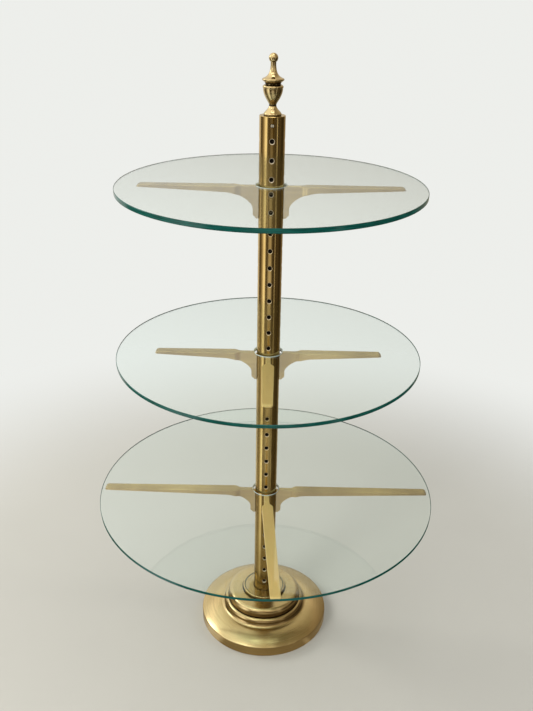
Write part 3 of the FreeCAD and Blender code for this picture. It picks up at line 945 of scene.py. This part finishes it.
class ETAGERE_OT_arms(bpy.types.Operator):
    """Cast arms, one shape for each tier copied round the column, and the pegs that carry them"""

    bl_idname = "etagere.arms"
    bl_label = "Arms"

    def execute(self, context):
        sizes = context.scene.etagere_shelves
        pegs = peg_pair()
        for tier, sides in TIERS.items():
            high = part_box(f"{tier}_right_arm")[1]
            blank = arm_casting(f"{tier}_arm_blank", high.x / MM, high.z - ARM.air * MM, sizes.edge_round)
            peg_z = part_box(f"{tier}_right_pegs")[1].z - PEG_R
            for side in sides:
                lean = ARM.lean if (tier, side) == ("bottom", "front") else 0.0
                arm = copy_of(blank, f"{tier}_{side}_casting", AZIMUTHS[side] + lean)
                body = f"{tier}_{side}_arm"
                fit(arm, body, body, materials()[f"arm_brass_{side}"])
                pair = copy_of(pegs, f"{tier}_{side}_peg_pair", AZIMUTHS[side], peg_z)
                fit(pair, body, f"{tier}_{side}_pegs", materials()["bright_steel"])
            remove(blank)
        remove(pegs)
        return {"FINISHED"}


# ---- Glass ----
HOLE_GAP = 4.6


class ETAGERE_OT_glass(bpy.types.Operator):
    """Round glass discs with a hole for the column and ground edges"""

    bl_idname = "etagere.glass"
    bl_label = "Glass"

    def execute(self, context):
        b = context.scene.etagere_shelves.arris / MM
        inner = COLUMN_R / MM + HOLE_GAP
        for tier in TIERS:
            low, high = (corner.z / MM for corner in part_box(f"{tier}_glass"))
            outer = round(radius_of(f"{tier}_glass") / MM)
            outline = [(inner, low + b), (inner + b, low), (outer - b, low), (outer, low + b), (outer, high - b)]
            outline += [(outer - b, high), (inner + 2 * b, high), (inner, high - 2 * b), (inner, low + b)]
            disc = turned(f"{tier}_glass_disc", outline, 256)
            for finish in ("shelf_glass", "glass_edge", "hole_edge"):
                disc.data.materials.append(materials()[finish])
            for face in disc.data.polygons:
                inside = face.center.xy.length < 2 * COLUMN_R
                face.material_index = 0 if abs(face.normal.z) > 0.9 else 2 if inside else 1
            disc.visible_shadow = False
            fit(disc, f"{tier}_glass", f"{tier}_glass")
        return {"FINISHED"}


# ---- Inner pieces that keep their CAD shape ----
class ETAGERE_OT_inside(bpy.types.Operator):
    """Finishes for the plugs, the weight, the bolt, the washer and the felt"""

    bl_idname = "etagere.inside"
    bl_label = "Inner pieces"

    def execute(self, context):
        finishes = {
            "column_top_plug": "base_brass", "column_foot_plug": "zinc_steel", "base_weight": "rough_iron",
            "base_bolt": "zinc_steel", "base_washer": "zinc_steel", "base_felt": "green_felt",
        }
        for node, material in finishes.items():
            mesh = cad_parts[node].data
            mesh.materials.clear()
            mesh.materials.append(materials()[material])
        return {"FINISHED"}


# ---- Stage ----
CAMERA = SimpleNamespace(
    focal_px=807.0, pitch=27.975, roll=1.007, yaw=0.072, height=1.4873, away=1.6162,
    shift_px=44.5,
)
FRAME_LONG_SIDE = 711
SENSOR = 36.0
FLOOR_SIZE = 24.0
FLOOR_FADE = (0.75, 1.75)
# Lamps, as place, aim, size, power and colour; the window light's power is the user's
LAMPS = {
    "window_light": ((-2.45, 0.95, 2.1), (0, 0, 0.45), (1.2, 1.6), None, (1.0, 0.985, 0.95)),
    "front_light": ((-1.5, -2.0, 1.7), (0, 0, 0.5), (0.7, 1.6), 31.0, (1.0, 0.98, 0.94)),
    "right_light": ((2.4, -0.3, 1.5), (0, 0, 0.6), (0.5, 1.8), 12.0, (1.0, 0.97, 0.92)),
}


def lamp(name, place, aim, size, power, colour):
    """Rectangular area lamp that points at a place."""
    deselect()
    bpy.ops.object.light_add(type="AREA", location=place)
    light = bpy.context.object
    light.name = name
    light.data.shape = "RECTANGLE"
    light.data.size, light.data.size_y = size
    light.data.energy = power
    light.data.color = colour
    light.rotation_euler = (Vector(aim) - Vector(place)).to_track_quat("-Z", "Y").to_euler()
    light.visible_camera = False
    light.visible_glossy = False
    light.visible_transmission = False


# Light levels round the tent below and above TENT_CHANGE, as azimuth in degrees and level: a bright window on the
# left, a pale back, and a dark right side and front with narrow bright bands
TENT_BELOW = (
    (-180, 0.26), (-168, 0.45), (-150, 1.60), (-138, 1.60), (-131, 0.16), (-112, 0.09), (-90, 0.24), (-72, 0.10),
    (-48, 0.06), (-46, 0.75), (-42, 0.75), (-40, 0.05), (-18, 0.10), (8, 0.04), (26, 0.07), (40, 0.28),
    (62, 0.38), (90, 0.70), (127, 0.90), (149, 0.80), (153, 0.12), (175, 0.14),
)
TENT_ABOVE = (
    (-180, 1.00), (-150, 1.10), (-140, 0.45), (-112, 0.65), (-104, 0.36), (-78, 0.36), (-72, 0.66), (-58, 0.56),
    (-52, 0.28), (-10, 0.26), (30, 0.32), (60, 0.45), (90, 0.66), (127, 0.90), (160, 1.10),
)
# Soft bright windows in the tent, as place, radius and strength; a strength below nought darkens
TENT_WINDOWS = (
    ((-2.7, 0.9, 2.2), 0.75, 3.0), ((-1.5, -2.3, 2.0), 0.55, 2.0), ((2.3, -1.6, 2.2), 0.4, 1.2),
    ((-0.1, -2.5, 0.0), 1.1, 0.5), ((0.1, -1.1, 0.0), 0.8, 0.5), ((0.0, -3.0, 0.95), 0.9, -0.19),
    ((0.15, -1.5, 2.7), 0.8, 1.1), ((-1.0, -1.1, 2.7), 0.7, 1.6), ((1.6, -0.9, 2.7), 0.35, 0.9),
    ((0.0, -0.1, 2.7), 0.5, 2.0), ((-0.5, -2.95, 1.75), 1.0, 0.35), ((2.1, -2.1, 1.72), 0.8, 0.28),
)
TENT_R = 3.0
TENT_H = 2.7
TENT_INNER_R = 0.23
TENT_CHANGE = (1.15, 1.5)
# Near the object the tent's floor takes an even colour, by this share at the first radius and none at the second
NEAR_COLOUR = (0.34, 0.29, 0.20, 1.0)
NEAR_SHARE = 0.75
NEAR_FADE = (0.28, 0.60)
# Strength of the tent's upper part at two heights, and after a second mirroring
UPPER_STRENGTH = ((1.6, 0.88), (2.6, 1.4))
TWICE_MIRRORED = 0.35


def levels_round(nodes, around, levels):
    """Colour ramp round the object through levels at azimuths, where dim light is warmer."""
    ramp = nodes.add("ShaderNodeValToRGB", {"Fac": around})
    stops = ramp.color_ramp.elements
    for azimuth, level in levels:
        stop = stops.new((azimuth + FULL_TURN / 2) / FULL_TURN)
        warm = min(level, 1.0)
        stop.color = (level, level * (0.78 + 0.22 * warm), level * (0.45 + 0.52 * warm), 1.0)
    stops.remove(stops[0])
    stops[-1].color = stops[0].color
    return ramp.outputs["Color"]


def tent_colour(nodes, upper):
    """Light levels of the tent: round the object, even near it, and brighter in the soft windows."""
    around = nodes.add("ShaderNodeTexGradient", {"Vector": nodes.place()}, gradient_type="RADIAL").outputs["Fac"]
    level = nodes.mix(upper, levels_round(nodes, around, TENT_BELOW), levels_round(nodes, around, TENT_ABOVE))
    near = nodes.ramp(nodes.length(nodes.radial(1.0, 0.0)), NEAR_SHARE, 0.0, *NEAR_FADE)
    level = nodes.mix(near, level, NEAR_COLOUR)
    for place, size, strength in TENT_WINDOWS:
        glow = nodes.ramp(nodes.distance(nodes.place(), place), strength, 0.0, size * 0.5, size)
        light = nodes.add("ShaderNodeCombineXYZ", {"X": glow, "Y": glow, "Z": glow}).outputs["Vector"]
        level = nodes.mix(1.0, level, light, "ADD")
    return level


def light_tent(name):
    """Studio tent with bright and dark panels, which only reflections show; rays straight through glass pass it."""
    rim, height = TENT_R / MM, TENT_H / MM
    tent = turned(name, [(TENT_INNER_R / MM, 0.5), (rim, 0.5), (rim, height), (1.0, height)], 96, shaded=False)
    nodes = new_material(name)
    z = nodes.add("ShaderNodeSeparateXYZ", {"Vector": nodes.place()}).outputs["Z"]
    upper = nodes.ramp(z, 0.0, 1.0, *TENT_CHANGE)
    (low_z, low), (high_z, high) = UPPER_STRENGTH
    lift = nodes.mix(upper, opaque((1.0, 1.0, 1.0)), nodes.ramp(z, low, high, low_z, high_z))
    mirrorings = nodes.add("ShaderNodeLightPath").outputs["Glossy Depth"]
    strength = nodes.math("MULTIPLY", lift, nodes.ramp(mirrorings, 1.0, TWICE_MIRRORED, 1.0, 2.0))
    lit = nodes.add("ShaderNodeEmission", {"Color": tent_colour(nodes, upper), "Strength": strength})
    clear = nodes.add("ShaderNodeBsdfTransparent")
    nodes.blend(nodes.math("MINIMUM", mirrorings, 1.0), clear.outputs["BSDF"], lit.outputs["Emission"])
    nodes.owner.cycles.emission_sampling = "NONE"
    tent.data.materials.append(nodes.owner)
    for ray in ("camera", "diffuse", "shadow", "volume_scatter"):
        setattr(tent, f"visible_{ray}", False)


class ETAGERE_OT_stage(bpy.types.Operator):
    """Pale floor, soft studio light, a tent for the metal to reflect, and the camera"""

    bl_idname = "etagere.stage"
    bl_label = "Stage"

    def execute(self, context):
        look = context.scene.etagere_stage
        self.floor(look)
        self.world(look)
        for name, (place, aim, size, power, colour) in LAMPS.items():
            lamp(name, place, aim, size, look.key if power is None else power, colour)
        light_tent("light_tent")
        self.camera()
        context.scene.view_settings.view_transform = "Standard"
        return {"FINISHED"}

    def floor(self, look):
        """Pale floor that fades into the backdrop and keeps the object's shadow."""
        deselect()
        bpy.ops.mesh.primitive_plane_add(size=FLOOR_SIZE, location=(0, 0, 0))
        floor = named("studio_floor")
        nodes = new_material("pale_floor")
        cloud = nodes.noise(nodes.place(), 1.6, 5.0, 0.6)
        sand = nodes.noise(nodes.place(), 60.0, 4.0, 0.6)
        pale = tuple(look.floor)
        tone = nodes.mix(nodes.ramp(cloud, 0.0, 1.0, 0.3, 0.7), opaque(shade(pale, 0.97)), opaque(pale))
        floor.data.materials.append(
            nodes.finish(Base_Color=tone, Roughness=0.85, Specular_IOR_Level=0.15, Normal=nodes.bump(sand, 0.08, MM))
        )
        near, far = FLOOR_FADE
        fade = nodes.add(
            "ShaderNodeMapRange",
            {"Value": nodes.length(nodes.place()), "From Min": near, "From Max": far},
            interpolation_type="SMOOTHSTEP",
        )
        pale_light = nodes.add("ShaderNodeEmission", {"Color": opaque(look.backdrop), "Strength": 1.0})
        nodes.blend(
            nodes.math("MULTIPLY", nodes.seen(), fade.outputs["Result"]),
            nodes.tree.nodes["Principled BSDF"].outputs["BSDF"],
            pale_light.outputs["Emission"],
        )
        nodes.owner.cycles.emission_sampling = "NONE"

    def world(self, look):
        """Soft even light; what the camera, metal and glass see of it is the pale backdrop."""
        world = bpy.data.worlds.new("studio")
        bpy.context.scene.world = world
        nodes = Nodes(world)
        nodes.tree.nodes.remove(nodes.tree.nodes["Background"])
        soft = nodes.add("ShaderNodeBackground", {"Color": (0.97, 0.985, 1.0, 1.0), "Strength": 0.75})
        pale = nodes.add("ShaderNodeBackground", {"Color": opaque(look.backdrop), "Strength": 1.0})
        nodes.blend(nodes.seen(), soft.outputs["Background"], pale.outputs["Background"], "World Output")

    def camera(self):
        """Camera in front of the stand, at eye height and tilted down."""
        c = CAMERA
        deselect()
        bpy.ops.object.camera_add(location=(0, -c.away, c.height))
        camera = bpy.context.object
        camera.data.sensor_width = SENSOR
        camera.data.lens = SENSOR * c.focal_px / FRAME_LONG_SIDE
        camera.data.shift_y = c.shift_px / FRAME_LONG_SIDE
        camera.data.dof.use_dof = False
        pan = rotation(c.yaw, "Z")
        tilt = rotation(90 - c.pitch, "X")
        roll = rotation(c.roll, "Z")
        camera.matrix_world = Matrix.Translation(camera.location) @ pan @ tilt @ roll
        bpy.context.scene.camera = camera


# ---- Panel ----
class ETAGERE_PT_panel(bpy.types.Panel):
    """Lists the etagere's pieces and values in the sidebar"""

    bl_idname = "ETAGERE_PT_panel"
    bl_label = "Tiered etagere"
    bl_space_type = "VIEW_3D"
    bl_region_type = "UI"
    bl_category = "Etagere"

    def draw(self, context):
        for group in GROUPS:
            box = self.layout.box()
            box.label(text=group.removeprefix("etagere_").capitalize())
            values = getattr(context.scene, group)
            for key in values.__annotations__:
                box.prop(values, key)
        for operator in PIECES:
            self.layout.operator(operator.bl_idname)


GROUPS = {
    "etagere_column": EtagereColumn,
    "etagere_shelves": EtagereShelves,
    "etagere_brass": EtagereBrass,
    "etagere_stage": EtagereStage,
}
PIECES = (
    ETAGERE_OT_column, ETAGERE_OT_finial, ETAGERE_OT_base, ETAGERE_OT_arms, ETAGERE_OT_glass,
    ETAGERE_OT_inside, ETAGERE_OT_stage,
)


def register():
    for cls in (*GROUPS.values(), *PIECES, ETAGERE_PT_panel):
        bpy.utils.register_class(cls)
    for name, group in GROUPS.items():
        setattr(bpy.types.Scene, name, bpy.props.PointerProperty(type=group))


def unregister():
    for name in GROUPS:
        delattr(bpy.types.Scene, name)
    for cls in reversed((*GROUPS.values(), *PIECES, ETAGERE_PT_panel)):
        bpy.utils.unregister_class(cls)


def main():
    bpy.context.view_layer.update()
    register()
    bpy.ops.etagere.column()
    bpy.ops.etagere.finial()
    bpy.ops.etagere.base()
    bpy.ops.etagere.arms()
    bpy.ops.etagere.glass()
    bpy.ops.etagere.inside()
    bpy.ops.etagere.stage()


if __name__ == "__main__":
    main()
